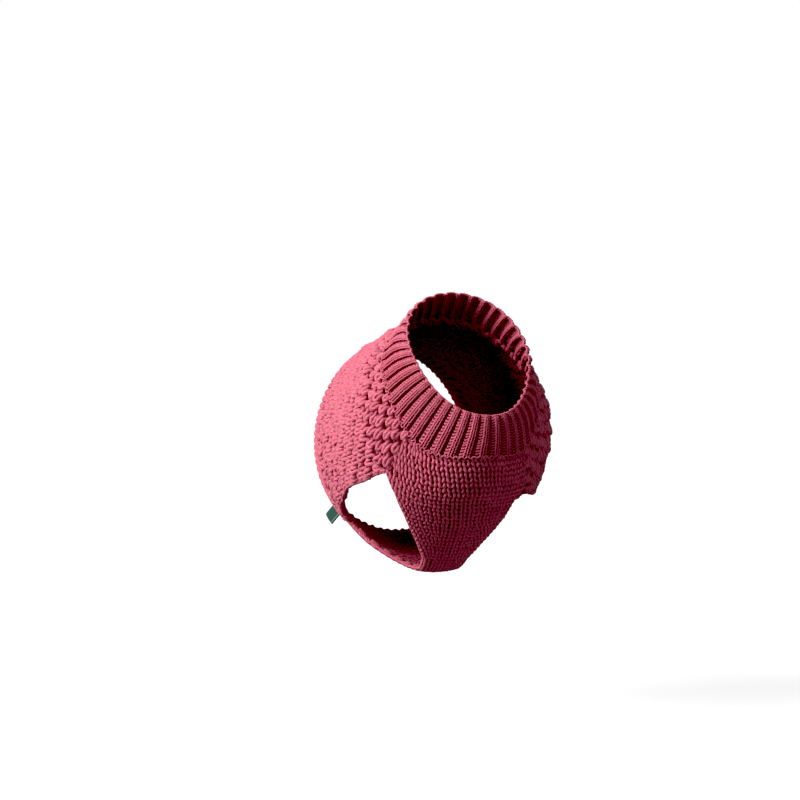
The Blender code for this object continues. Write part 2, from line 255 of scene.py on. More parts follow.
class Cloth:
    """A panel's own coordinates. across and along run from 0 to 1, even in length.

    borders gives the angles of its side edges at stations. With even_at, across is
    even at that station alone, and has the same angles at the others. lean gives
    what is added to the angles.
    """

    STATIONS = 121
    FRACTIONS = 241
    ANGLES = 721                # measured round each ring, to space the fractions

    def __init__(self, first, last, borders, closed=False, even_at=None, lean=None):
        self.closed = closed
        self.stations = np.linspace(first, last, self.STATIONS)
        low, high = borders(self.stations)
        angles = low[:, None] + (high - low)[:, None] * np.linspace(0, 1, self.ANGLES)
        spaced_at = self.stations if even_at is None else np.full_like(self.stations, even_at)
        steps = np.linalg.norm(np.diff(face(angles, spaced_at[:, None]), axis=1), axis=2)
        runs = np.concatenate([np.zeros((len(steps), 1)), np.cumsum(steps, axis=1)], axis=1)
        even = np.linspace(0, 1, self.FRACTIONS)
        self.table = np.array([np.interp(even * run[-1], run, row)
                               for run, row in zip(runs, angles)])
        if lean:
            self.table = self.table + lean(self.table, self.stations[:, None])
        self.widths = runs[:, -1]
        grid = face(self.table, self.stations[:, None])
        lengths = np.linalg.norm(np.diff(grid, axis=0), axis=2).mean(axis=1)
        self.length = lengths.sum()
        self.alongs = np.concatenate([[0], np.cumsum(lengths)]) / self.length

    def station(self, along):
        return extend(along, self.alongs, self.stations)

    def width(self, along):
        return np.interp(along, self.alongs, self.widths)

    def angle(self, across, station):
        """Bilinear look-up, going straight on past the side edges."""
        turns = np.floor(across) if self.closed else np.zeros_like(across)
        f = across - turns
        x = np.clip(f, 0, 1) * (self.FRACTIONS - 1)
        i = np.minimum(x.astype(int), self.FRACTIONS - 2)
        y = ((station - self.stations[0]) / (self.stations[-1] - self.stations[0])
             * (self.STATIONS - 1))
        y = np.clip(y, 0, self.STATIONS - 1)
        j = np.minimum(y.astype(int), self.STATIONS - 2)
        u, v = x - i, y - j
        slope = ((self.table[j, i + 1] - self.table[j, i]) * (1 - v)
                 + (self.table[j + 1, i + 1] - self.table[j + 1, i]) * v)
        here = self.table[j, i] * (1 - v) + self.table[j + 1, i] * v
        past = (f - np.clip(f, 0, 1)) * (self.FRACTIONS - 1)
        return here + slope * (u + past) + turns * TURN

    def spot(self, across, along):
        station = self.station(along)
        return surface(self.angle(across, station), station)


def collar_lean(angles, stations):
    """How far the ribs lean: square to the neck edge there, straight at the seam."""
    from_low = (angles - math.pi - RIB_LEAN_TURN + math.pi) % TURN - math.pi
    reach = np.interp(np.degrees(np.abs(from_low)), *zip(*RIB_LEAN))
    eased = 0.5**LEAN_EASE - (1 - stations / COLLAR_SEAM)**LEAN_EASE
    return np.radians(reach) * np.sign(from_low) * eased


def whole_ring(stations):
    return np.zeros_like(stations), np.full_like(stations, TURN)


def edge_angle(column, stations):
    """How far a side edge lies from the low centre line, in radians."""
    values = EDGE_TABLE[:, Edge._fields.index(column)]
    return np.radians(np.interp(stations, EDGE_TABLE[:, 0], values))


def front_edges(stations):
    return (math.pi - edge_angle("front_left", stations),
            math.pi + edge_angle("front_right", stations))


def back_edges(stations):
    return (edge_angle("back_right", stations) - math.pi,
            math.pi - edge_angle("back_left", stations))


# ---------------------------------------------------------------- relief
# A relief is a function of a place in the knit, in shares of its columns and rows.
# It gives the place across the cloth, the height over the face in metres, and how
# far the outward direction tilts there.
def plain_relief(middle, lumps=()):
    """A flat knit, with soft lumps as in BACK_LUMPS."""
    def relief(across, along):
        height = np.full_like(across, middle)
        for size, waves_across, waves_along, phase in lumps:
            height += size * np.sin(TURN * (waves_across * across + waves_along * along) + phase)
        return across, height * MM, np.zeros_like(across)
    return relief


def fan_past(cloth, along):
    """How far the fan of front columns goes on past the left and right edges."""
    past = np.clip((LEG_FRONT - cloth.station(along)) / (LEG_FRONT - COLLAR_SEAM), 0, 1)
    return past * FRONT_FAN[0], past * FRONT_FAN[1]


def fan_relief(middle, cloth):
    """A flat knit whose columns run in the fan, not from edge to edge."""
    def relief(fan, along):
        left, right = fan_past(cloth, along)
        across = fan * (1 + left + right) - left
        return across, np.full_like(across, middle * MM), np.zeros_like(across)
    return relief


def rib_relief(rib, ribs, width):
    """Ribs whose knit columns stand up while the purl columns fold into a valley."""
    def shape(x):
        distance = np.abs((x - (1 + rib.knit_share) / 2 + 0.5) % 1 - 0.5)
        dip = np.exp(-(distance / RIB_DIP)**2)
        crown = RIB_CROWN * ((x % 1 - rib.knit_share / 2) / (rib.knit_share / 2))**2
        return 1 - dip - crown * (1 - dip)

    def relief(across, along):
        column = across * ribs * RIB_COLUMNS - rib.shift
        period = np.floor(column / RIB_COLUMNS)
        u = column - period * RIB_COLUMNS
        knit = rib.knit_share
        x = np.where(u < 2, u / 2 * knit, knit + (u - 2) / 2 * (1 - knit))
        near_first = np.clip(1 - along / FIRST_FADE, 0, 1)**2
        near_last = np.clip(1 - (1 - along) / LAST_FADE, 0, 1)**2
        fade = 1 - (1 - rib.fade_first) * near_first - (1 - rib.fade_last) * near_last
        rise = (rib.crest - rib.valley) * fade
        bottom = rib.valley + (rib.crest - rib.valley) * (1 - fade) * FADE_LEVEL
        height = bottom + rise * shape(x)
        step = 1e-3
        slope = rise * (shape(x + step) - shape(x - step)) / (2 * step)
        tilt = np.arctan2(slope * MM, width / ribs)
        moved = (period + x + rib.shift / RIB_COLUMNS) / ribs
        return moved, height * MM, tilt
    return relief


class Fabric:
    """A cloth with its relief: turns across, along and depth into points."""

    def __init__(self, cloth, relief, top):
        self.cloth, self.relief, self.top = cloth, relief, top

    def lie(self, across, along, depth):
        """How far out yarn lies, for its painted shade: 1 is the front of a loop on a crest."""
        return depth + LOW_SHADE_RATE * (self.relief(across, along)[1] / MM - self.top)

    def points(self, across, along, depth):
        across, along, depth = np.broadcast_arrays(
            *(np.asarray(a, dtype=float) for a in (across, along, depth)))
        moved, height, tilt = self.relief(across, along)
        point, normal, around, _ = self.cloth.spot(moved, along)
        cos, sin = np.cos(tilt)[..., None], np.sin(tilt)[..., None]
        out = normal * cos - around * sin
        return point + normal * height[..., None] + out * depth[..., None], out


# ---------------------------------------------------------------- yarn
class Yarn:
    """Collects strands of yarn as tubes and makes one mesh of them."""

    def __init__(self):
        self.points, self.quads, self.caps = [], [], []
        self.uv, self.lie = [], []
        self.count = 0

    def strand(self, path, out, radius, sides, lie, closed=False):
        """One tube. out is the cloth's outward direction, lie how far out it lies, for painted
        shade.
        """
        if closed:
            tangent = np.roll(path, -1, axis=0) - np.roll(path, 1, axis=0)
        else:
            tangent = np.gradient(path, axis=0)
        tangent = unit(tangent)
        side = unit(np.cross(tangent, out))
        up = np.cross(side, tangent)
        turn = TURN * np.arange(sides) / sides
        radius = np.broadcast_to(radius, (len(path),))[:, None, None]
        ring = (np.cos(turn)[None, :, None] * side[:, None]
                + np.sin(turn)[None, :, None] * up[:, None])
        self.points.append((path[:, None] + ring * radius).reshape(-1, 3))
        self.lie.append(np.repeat(np.broadcast_to(lie, (len(path),)), sides))
        steps = np.linalg.norm(np.diff(path, axis=0, append=path[:1]), axis=1) / MM
        run = np.concatenate([[0], np.cumsum(steps)])
        rings = len(path) if closed else len(path) - 1
        i, j = np.meshgrid(np.arange(rings), np.arange(sides), indexing="ij")
        i, j = i.ravel(), j.ravel()
        k, m = (i + 1) % len(path), (j + 1) % sides
        quads = np.stack([i * sides + j, k * sides + j, k * sides + m, i * sides + m], axis=1)
        self.quads.append(quads + self.count)
        start, end = run[i], run[i + 1]
        low, high = j / sides, (j + 1) / sides
        self.uv.append(np.stack([start, low, end, low, end, high, start, high], axis=1))
        if not closed:
            first = self.count + np.arange(sides)
            self.caps.append(first)
            self.caps.append(first[::-1] + (len(path) - 1) * sides)
        self.count += len(path) * sides

    def build(self, name, material):
        quads = np.concatenate(self.quads)
        faces = quads.tolist() + [cap.tolist() for cap in self.caps]
        mesh = bpy.data.meshes.new(name)
        mesh.from_pydata(np.concatenate(self.points).tolist(), [], faces)
        uv = np.concatenate(self.uv).reshape(-1, 2)
        spare = np.zeros((sum(len(cap) for cap in self.caps), 2))
        layer = mesh.uv_layers.new(name="yarn")
        layer.data.foreach_set("uv", np.concatenate([uv, spare]).ravel())
        lie = mesh.attributes.new("lie", "FLOAT", "POINT")
        lie.data.foreach_set("value", np.concatenate(self.lie))
        mesh.shade_smooth()
        mesh.materials.append(material)
        return link(bpy.data.objects.new(name, mesh))


def link(piece):
    bpy.context.scene.collection.objects.link(piece)
    return piece


def all_knit(row, count):
    return np.ones(count)


def seed_stitch(row, count):
    return np.where((np.arange(count) + row) % 2 == 0, 1.0, -1.0)


def two_by_two(row, count):
    return np.where(np.arange(count) % RIB_COLUMNS < 2, 1.0, -1.0)


def draws(*size):
    """Bell-shaped random numbers, cut off at NOISE_LIMIT."""
    return RANDOM.normal(size=size).clip(-NOISE_LIMIT, NOISE_LIMIT)


def row_of_loops(gauge, row, borders, signs, closed):
    """across, along in rows, and depth of one yarn through one row of loops.

    A knit loop's legs lie in front and its feet behind, and a purl's the other
    way. Its head lies behind the legs of the loop that is drawn through it.
    """
    count = len(borders) - 1
    t = TURN * np.arange(gauge.steps) / gauge.steps
    here, after = signs(row, count), signs(row + 1, count)
    before, following = np.roll(here, 1), np.roll(here, -1)
    if not closed:
        before[0], following[-1] = here[0], here[-1]
    keys = np.stack([-(before + here) / 2, here, -after, here, -(here + following) / 2], axis=1)
    quarter = 4 * t / TURN
    low = quarter.astype(int)
    blend = (1 - np.cos(math.pi * (quarter - low))) / 2
    depth = keys[:, low] * (1 - blend) + keys[:, low + 1] * blend
    free = np.sin(t / 2)**2              # the feet stay put, so the yarn stays whole
    noise = draws(4, count, 1) * gauge.uneven
    swing = gauge.swing * (1 + SWING_NOISE * noise[0])
    inside = t / TURN + swing * np.sin(2 * t) + COLUMN_NOISE * noise[1] * free
    across = borders[:-1, None] + np.diff(borders)[:, None] * inside
    along = row + 0.5 - gauge.reach * np.cos(t) + ROW_NOISE * noise[2] * free
    depth = depth * (1 + DEPTH_NOISE * noise[3] * free)
    across, along, depth = (a.ravel() for a in (across, along, depth))
    if not closed:
        across = np.append(across, borders[-1])
        along = np.append(along, row + 0.5 - gauge.reach)
        depth = np.append(depth, keys[-1, 4])
    return across, along, depth


def plump(count, steps, open_end):
    """Yarn thickness that changes softly from loop to loop."""
    values = 1 + PLUMP_NOISE * draws(count + 1)
    samples = count * steps + (1 if open_end else 0)
    return np.interp(np.arange(samples) / steps, np.arange(count + 1), values)


def knit_round(yarn, fabric, gauge, columns, signs):
    """Rows of loops that close on themselves."""
    borders = np.linspace(0, 1, columns + 1)
    for row in range(gauge.rows):
        across, along, depth = row_of_loops(gauge, row, borders, signs, True)
        path, out = fabric.points(across, along / gauge.rows, depth * gauge.depth * MM)
        radius = plump(columns, gauge.steps, False) * gauge.radius * MM
        lie = fabric.lie(across, along / gauge.rows, depth)
        yarn.strand(path, out, radius, gauge.sides, lie, closed=True)


def knit_flat(yarn, fabric, gauge, borders_at, signs, rows):
    """Rows of loops to and fro, in one yarn that turns at each side edge.

    borders_at gives the columns' borders at a place along the panel.
    """
    parts, thick = [], []
    for row in rows:
        borders = borders_at((row + 0.5) / gauge.rows)
        count = len(borders) - 1
        part = np.stack(row_of_loops(gauge, row, borders, signs, False))
        swell = plump(count, gauge.steps, True)
        forward = row % 2 == 0
        if not forward:
            part, swell = part[:, ::-1], swell[::-1]
        if parts:
            q = EDGE_TURN_STEPS
            last, first = parts[-1][:, -1:], part[:, :1]
            turn = last * (1 - q) + first * q
            turn[0] += (-EDGE_TURN if forward else EDGE_TURN) / count * np.sin(math.pi * q)
            parts.append(turn)
            thick.append(np.ones(len(q)))
        parts.append(part)
        thick.append(swell)
    across, along, depth = np.concatenate(parts, axis=1)
    path, out = fabric.points(across, along / gauge.rows, depth * gauge.depth * MM)
    lie = fabric.lie(across, along / gauge.rows, depth)
    yarn.strand(path, out, np.concatenate(thick) * gauge.radius * MM, gauge.sides, lie)


def plait(yarn, line, kind, closed=False):
    """Three strands plaited along a line of (points, out, side), as a bound edge."""
    count = kind.periods * PLAIT_STEPS
    q = np.arange(count + (0 if closed else 1)) / count
    point, out, side = line(q)
    for strand in range(3):
        turn = TURN * (kind.periods * q + strand / 3)
        path = (point + side * (kind.width * MM * np.sin(turn))[:, None]
                + out * (kind.height * MM * np.sin(2 * turn))[:, None])
        # painted shade: lie darkens each strand where it passes under the others
        lie = 0.6 + 0.4 * np.sin(2 * turn)      # 1 where it passes over the others
        yarn.strand(path, out, kind.radius * MM, kind.sides, lie, closed)


def cross_line(fabric, along):
    """A line across the fabric at one place along it."""
    def line(q):
        point, out = fabric.points(q, along, 0.0)
        _, _, _, run = fabric.cloth.spot(q, np.full_like(q, along))
        return point, out, run
    return line


def leg_hole_line(fabric, across, depth=0.0):
    """A line along one side edge of the fabric, past the leg hole."""
    cloth = fabric.cloth
    first, last = (np.interp(s, cloth.stations, cloth.alongs) for s in (LEG_FRONT, LEG_REAR))

    def line(q):
        along = first + (last - first) * q
        point, out = fabric.points(np.full_like(q, across), along, depth)
        _, _, around, _ = cloth.spot(np.full_like(q, across), along)
        return point, out, around
    return line


# ---------------------------------------------------------------- cloth inside
def slab_faces(rows, columns, closed=False):
    """Faces of two skins of rows x columns points, joined round their borders."""
    size = rows * columns
    faces = []
    for i in range(rows if closed else rows - 1):
        k = (i + 1) % rows
        for j in range(columns - 1):
            a, b, c, d = i * columns + j, k * columns + j, k * columns + j + 1, i * columns + j + 1
            faces.append((a, b, c, d))
            faces.append((a + size, d + size, c + size, b + size))
        for j, turned in ((0, False), (columns - 1, True)):
            a, b = i * columns + j, k * columns + j
            rim = (a, a + size, b + size, b)
            faces.append(rim[::-1] if turned else rim)
    if not closed:
        for i, turned in ((0, True), (rows - 1, False)):
            for j in range(columns - 1):
                a, b = i * columns + j, i * columns + j + 1
                rim = (a, a + size, b + size, b)
                faces.append(rim[::-1] if turned else rim)
    return faces


def backing(name, fabric, size, material):
    """The thin cloth inside the loops, dark with painted shade: two skins joined all round."""
    across = np.linspace(0, 1, size.columns + 1)
    if fabric.cloth.closed:
        across = across[:-1]
    along = np.linspace(size.first, size.last, size.rows + 1)
    grid = np.meshgrid(across, along, indexing="ij")
    skins = [fabric.points(*grid, side * BACKING_THICK / 2)[0].reshape(-1, 3)
             for side in (1, -1)]
    faces = slab_faces(*grid[0].shape, fabric.cloth.closed)
    points = np.concatenate(skins)
    mesh = bpy.data.meshes.new(name)
    mesh.from_pydata(points.tolist(), [], faces)
    mesh.shade_smooth()
    mesh.materials.append(material)
    return link(bpy.data.objects.new(name, mesh))


# ---------------------------------------------------------------- materials
Finish = namedtuple("Finish", "rough sheen sheen_tint specular")
YARN_FINISH = Finish(0.88, 0.22, (1.0, 0.52, 0.56), 0.06)
CLOTH_FINISH = Finish(0.95, 0.20, (1.0, 0.60, 0.70), 0.10)
LABEL_FINISH = Finish(0.70, 0.30, (0.8, 1.00, 0.90), 0.30)
FLOOR_FINISH = Finish(0.95, 0.00, (1.0, 1.00, 1.00), 0.00)
BACKDROP_FINISH = Finish(1.00, 0.00, (1.0, 1.00, 1.00), 0.00)
SHEEN_ROUGHNESS = 0.45

LIGHT_ROSE = (0.545, 0.160, 0.210)
DARK_ROSE = (0.450, 0.110, 0.152)
# painted light: the collar's rib yarn is the same yarn, painted lighter than LIGHT_ROSE and
# DARK_ROSE for the collar's brighter light
LIT_RIB_ROSE = (0.60, 0.178, 0.230)
LIT_RIB_DARK_ROSE = (0.50, 0.122, 0.168)
# painted shade: the colour that yarn darkens to where it lies low and between its plies
PAINTED_SHADE_ROSE = (0.25, 0.034, 0.063)      # of yarn that lies low, and between its plies
# painted shade: the thin cloth's dark colour stands in for the shade between the loops
SHADE_CLOTH_ROSE = (0.16, 0.022, 0.038)
LABEL_GREEN = (0.010, 0.060, 0.042)
LABEL_DARK_GREEN = (0, 0.02, 0.015)
LABEL_PALE = (0.28, 0.36, 0.30)

# Yarns: the colours that their blotches run between, the length of a ply's turn
# in mm, and how many plies they have.
YarnLook = namedtuple("YarnLook", "light dark twist plies")
RIB_YARN = YarnLook(LIT_RIB_ROSE, LIT_RIB_DARK_ROSE, 1.4, 3)
BULKY_YARN = YarnLook(LIGHT_ROSE, DARK_ROSE, 2.6, 4)
PLAIN_YARN = YarnLook(LIGHT_ROSE, DARK_ROSE, 2.2, 3)
# painted shade: the yarn's colour deepens between plies and where it lies low
PLY_SHADE = 0.45                # how deep the colour is between plies, as a share
LOW_SHADE = 0.55                # and where the yarn lies lowest
LOW_RANGE = 0.9                 # lie runs from minus this, lowest, to this
WEAVE_SHADE = 0.45              # of the thin cloth's colour, in its weave
PLY_BUMP = (0.55, 0.18 * MM)    # each bump's strength and height
FIBRE_BUMP = (0.35, 0.08 * MM)
WEAVE_BUMP = (0.60, 0.30 * MM)
LABEL_BUMP = (0.50, 0.10 * MM)
LABEL_THREADS = (30, 60)        # across and along the whole tape
LABEL_SELVEDGE = 0.44           # where it starts, in tape widths from the middle


def new_material(name, base, finish):
    material = bpy.data.materials.new(name)
    material.use_nodes = True
    shader = material.node_tree.nodes["Principled BSDF"]
    shader.inputs["Base Color"].default_value = (*base, 1)
    shader.inputs["Roughness"].default_value = finish.rough
    shader.inputs["Sheen Weight"].default_value = finish.sheen
    shader.inputs["Sheen Roughness"].default_value = SHEEN_ROUGHNESS
    shader.inputs["Sheen Tint"].default_value = (*finish.sheen_tint, 1)
    shader.inputs["Specular IOR Level"].default_value = finish.specular
    return material, material.node_tree, shader


def node(tree, kind, **settings):
    """A node, with settings of its own or of its inputs."""
    made = tree.nodes.new(kind)
    for name, value in settings.items():
        if hasattr(made, name):
            setattr(made, name, value)
        else:
            made.inputs[name].default_value = value
    return made


def fill(tree, sockets, values):
    """Sets each socket to a number or colour, or links it to another node's output."""
    for socket, value in zip(sockets, values):
        if isinstance(value, (int, float, tuple)):
            socket.default_value = value
        else:
            tree.links.new(value, socket)


def maths(tree, operation, *values):
    made = node(tree, "ShaderNodeMath", operation=operation)
    fill(tree, made.inputs, values)
    return made.outputs[0]


def mix_colour(tree, factor, first, second):
    made = node(tree, "ShaderNodeMix", data_type="RGBA")
    fill(tree, (made.inputs[0], made.inputs[6], made.inputs[7]), (factor, first, second))
    return made.outputs[2]


def map_range(tree, value, first, last, low=0.0, high=1.0):
    """value from first to last, turned into low to high."""
    made = node(tree, "ShaderNodeMapRange")
    names = ("Value", "From Min", "From Max", "To Min", "To Max")
    fill(tree, [made.inputs[name] for name in names], (value, first, last, low, high))
    return made.outputs["Result"]


def bump(tree, height, size, under=None):
    """A normal raised by height, on top of the normal that is under it."""
    made = node(tree, "ShaderNodeBump", Strength=size[0], Distance=size[1])
    tree.links.new(height, made.inputs["Height"])
    if under is not None:
        tree.links.new(under, made.inputs["Normal"])
    return made.outputs["Normal"]


def places(tree):
    """A point's U and V on its mesh, and its place in the object."""
    place = node(tree, "ShaderNodeTexCoord")
    parts = node(tree, "ShaderNodeSeparateXYZ")
    tree.links.new(place.outputs["UV"], parts.inputs[0])
    return parts.outputs[0], parts.outputs[1], place.outputs["Object"]


def yarn_material(name, look):
    """Soft plied yarn: twisted plies, loose fibres, and painted shade between plies and where it
    lies low.
    """
    material, tree, shader = new_material(name, look.light, YARN_FINISH)
    run, round_it, place = places(tree)
    twist = maths(tree, "ADD", maths(tree, "MULTIPLY", run, 1 / look.twist),
                  maths(tree, "MULTIPLY", round_it, look.plies))
    wave = maths(tree, "SINE", maths(tree, "MULTIPLY", twist, math.pi))
    ridge = maths(tree, "ABSOLUTE", wave)
    blotch = node(tree, "ShaderNodeTexNoise", Scale=140.0, Detail=3.0)
    fibre = node(tree, "ShaderNodeTexNoise", Scale=2600.0, Detail=4.0, Roughness=0.7)
    for texture in (blotch, fibre):
        tree.links.new(place, texture.inputs["Vector"])
    lie = node(tree, "ShaderNodeAttribute", attribute_name="lie")
    height = map_range(tree, lie.outputs["Fac"], -LOW_RANGE, LOW_RANGE)
    tone = mix_colour(tree, blotch.outputs["Fac"], (*look.dark, 1), (*look.light, 1))
    # painted shade: the colour deepens in the grooves between plies and where the yarn lies low
    for share, shade in ((ridge, PLY_SHADE), (height, LOW_SHADE)):
        depth = maths(tree, "MULTIPLY", maths(tree, "SUBTRACT", 1.0, share), shade)
        tone = mix_colour(tree, depth, tone, (*PAINTED_SHADE_ROSE, 1))
    tree.links.new(tone, shader.inputs["Base Color"])
    plies = bump(tree, ridge, PLY_BUMP)
    fibres = bump(tree, fibre.outputs["Fac"], FIBRE_BUMP, plies)
    tree.links.new(fibres, shader.inputs["Normal"])
    return material


def backing_material(name, colour):
    """Painted shade between the loops: a dark colour, with the crossing yarns as a fine weave."""
    material, tree, shader = new_material(name, colour, CLOTH_FINISH)
    place = node(tree, "ShaderNodeTexCoord")
    weave = node(tree, "ShaderNodeTexVoronoi", Scale=900.0)
    tree.links.new(place.outputs["Object"], weave.inputs["Vector"])
    deeper = tuple(WEAVE_SHADE * c for c in colour)
    tone = mix_colour(tree, weave.outputs["Distance"], (*colour, 1), (*deeper, 1))
    tree.links.new(tone, shader.inputs["Base Color"])
    normal = bump(tree, weave.outputs["Distance"], WEAVE_BUMP)
    tree.links.new(normal, shader.inputs["Normal"])
    return material


def label_material():
    """Dark green woven tape, plain but for its paler selvedges."""
    material, tree, shader = new_material("label_cloth", LABEL_GREEN, LABEL_FINISH)
    wide, run, _ = places(tree)
    threads = [maths(tree, "SINE", maths(tree, "MULTIPLY", place, TURN * count))
               for place, count in zip((wide, run), LABEL_THREADS)]
    weave = maths(tree, "MULTIPLY", *threads)
    off_middle = maths(tree, "ABSOLUTE", maths(tree, "SUBTRACT", wide, 0.5))
    selvedge = maths(tree, "GREATER_THAN", off_middle, LABEL_SELVEDGE)
    tone = mix_colour(tree, selvedge, (*LABEL_GREEN, 1), (*LABEL_PALE, 1))
    depth = maths(tree, "MULTIPLY_ADD", weave, 0.2, 0.5)        # from 0.3 to 0.7
    tone = mix_colour(tree, depth, tone, (*LABEL_DARK_GREEN, 1))
    tree.links.new(tone, shader.inputs["Base Color"])
    tree.links.new(bump(tree, weave, LABEL_BUMP), shader.inputs["Normal"])
    return material


# ---------------------------------------------------------------- pieces
# A panel is the thin cloth inside it, the yarn pieces that lie on that, and its form.
Panel = namedtuple("Panel", "inner trims form")


def place_piece(piece, node_name):
    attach(piece, "root")
    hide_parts(node_name)
    return piece


def even_borders(count):
    """Borders of equal columns, the same all along the panel."""
    borders = np.linspace(0, 1, count + 1)
    return lambda along: borders


def make_collar(yarn_look, inner_look):
    cloth = Cloth(0.0, COLLAR_SEAM, whole_ring, closed=True, even_at=COLLAR_SEAM / 2,
                  lean=collar_lean)
    ribs = rib_relief(COLLAR_RIB, COLLAR_RIBS, cloth.width(0.5))
    fabric = Fabric(cloth, ribs, COLLAR_RIB.crest)
    yarn = Yarn()
    knit_round(yarn, fabric, COLLAR_GAUGE, COLLAR_RIBS * RIB_COLUMNS, two_by_two)
    knit = place_piece(yarn.build("collar_knit", yarn_look), "collar")
    trim = Yarn()
    plait(trim, cross_line(fabric, 0.0), NECK_PLAIT, closed=True)
    edge = place_piece(trim.build("neck_edge", yarn_look), "collar")
    inner = backing("collar_shade_cloth", fabric, COLLAR_BACKING, inner_look)
    return Panel(place_piece(inner, "collar"), [knit, edge], cloth)


def make_collar_seam(yarn_look):
    """The linking thread that joins the collar to the panels: a fine zigzag on top."""
    cloth = Cloth(COLLAR_SEAM - SEAM_REACH, COLLAR_SEAM + SEAM_REACH, whole_ring, closed=True,
                  even_at=COLLAR_SEAM)
    fabric = Fabric(cloth, plain_relief(SEAM_HEIGHT), SEAM_HEIGHT)
    count = SEAM_STITCHES * SEAM_STEPS
    q = np.arange(count) / count
    point, out, run = cross_line(fabric, 0.5)(q)
    turn = TURN * SEAM_STITCHES * q
    uneven = np.interp(q * SEAM_STITCHES, np.arange(SEAM_STITCHES), draws(SEAM_STITCHES))
    swing = SEAM_SWING * (1 + SEAM_UNEVEN * uneven)
    path = (point + run * (swing * np.sin(turn))[:, None]
            + out * (SEAM_WAVE * np.cos(2 * turn))[:, None])
    yarn = Yarn()
    yarn.strand(path, out, SEAM_THREAD, sides=6, lie=0.9, closed=True)
    return place_piece(yarn.build("collar_seam", yarn_look), "collar")


def make_back(yarn_look, inner_look):
    cloth = Cloth(COLLAR_SEAM, HEM_SEAM, back_edges)
    fabric = Fabric(cloth, plain_relief(BACK_GAUGE.middle, BACK_LUMPS), BACK_GAUGE.middle)
    half = BACK_GAUGE.rows // 2
    trims = []
    for name, rows in (("shoulder_knit", range(half)),
                       ("saddle_knit", range(half, BACK_GAUGE.rows))):
        yarn = Yarn()
        knit_flat(yarn, fabric, BACK_GAUGE, even_borders(BACK_COLUMNS), seed_stitch, rows)
        trims.append(place_piece(yarn.build(name, yarn_look), "back_panel"))
    edges = Yarn()
    for across in (0.0, 1.0):
        plait(edges, leg_hole_line(fabric, across, LEG_PLAIT_LIFT), LEG_PLAIT)
    trims.append(place_piece(edges.build("leg_hole_edges", yarn_look), "back_panel"))
    inner = backing("back_shade_cloth", fabric, BACK_BACKING, inner_look)
    return Panel(place_piece(inner, "back_panel"), trims, cloth)


def front_borders(cloth):
    """Column borders that fan with the panel, some columns ending as it narrows."""
    def borders(along):
        left, right = fan_past(cloth, along)
        whole = 1 + left + right
        pitch = np.interp(cloth.station(along), *zip(*FRONT_PITCHES))
        wanted = cloth.width(along) * whole / MM / pitch
        shares = np.clip(wanted / 2 - np.array(FRONT_COLUMN_RANKS), 0, 1)
        shares = np.concatenate([shares[::-1], shares])
        shares = shares[shares > FRONT_COLUMN_ENDS]
        fan = np.concatenate([[0], np.cumsum(shares)]) / shares.sum()
        first, last, narrow = left / whole, (1 + left) / whole, FRONT_COLUMN_ENDS / wanted
        inside = fan[(fan > first + narrow) & (fan < last - narrow)]
        return np.concatenate([[first], inside, [last]])
    return borders


def make_front(yarn_look, inner_look):
    cloth = Cloth(COLLAR_SEAM, HEM_EDGE, front_edges)
    fabric = Fabric(cloth, plain_relief(FRONT_GAUGE.middle), FRONT_GAUGE.middle)
    fanned = Fabric(cloth, fan_relief(FRONT_GAUGE.middle, cloth), FRONT_GAUGE.middle)
    trims = []
    for name, rows in (("chest_knit", range(CHEST_ROWS)),
                       ("belly_knit", range(CHEST_ROWS, FRONT_GAUGE.rows))):
        yarn = Yarn()
        knit_flat(yarn, fanned, FRONT_GAUGE, front_borders(cloth), all_knit, rows)
        trims.append(place_piece(yarn.build(name, yarn_look), "front_panel"))
    edges = Yarn()
    plait(edges, cross_line(fabric, 1.0), BELLY_PLAIT)
    for across in (0.0, 1.0):
        plait(edges, leg_hole_line(fabric, across), CHEST_PLAIT)
    trims.append(place_piece(edges.build("front_edges", yarn_look), "front_panel"))
    inner = backing("front_shade_cloth", fabric, FRONT_BACKING, inner_look)
    return Panel(place_piece(inner, "front_panel"), trims, cloth)


def make_hem(yarn_look, inner_look):
    cloth = Cloth(HEM_SEAM, HEM_EDGE, back_edges)
    fabric = Fabric(cloth, rib_relief(HEM_RIB, HEM_RIBS, cloth.width(0.5)), HEM_RIB.crest)
    yarn = Yarn()
    knit_flat(yarn, fabric, HEM_GAUGE, even_borders(HEM_RIBS * RIB_COLUMNS), two_by_two,
              range(HEM_GAUGE.rows))
    knit = place_piece(yarn.build("hem_knit", yarn_look), "hem_rib")
    trim = Yarn()
    plait(trim, cross_line(fabric, 1.0), HEM_PLAIT)
    edge = place_piece(trim.build("hem_edge", yarn_look), "hem_rib")
    inner = backing("hem_shade_cloth", fabric, HEM_BACKING, inner_look)
    return Panel(place_piece(inner, "hem_rib"), [knit, edge], cloth)


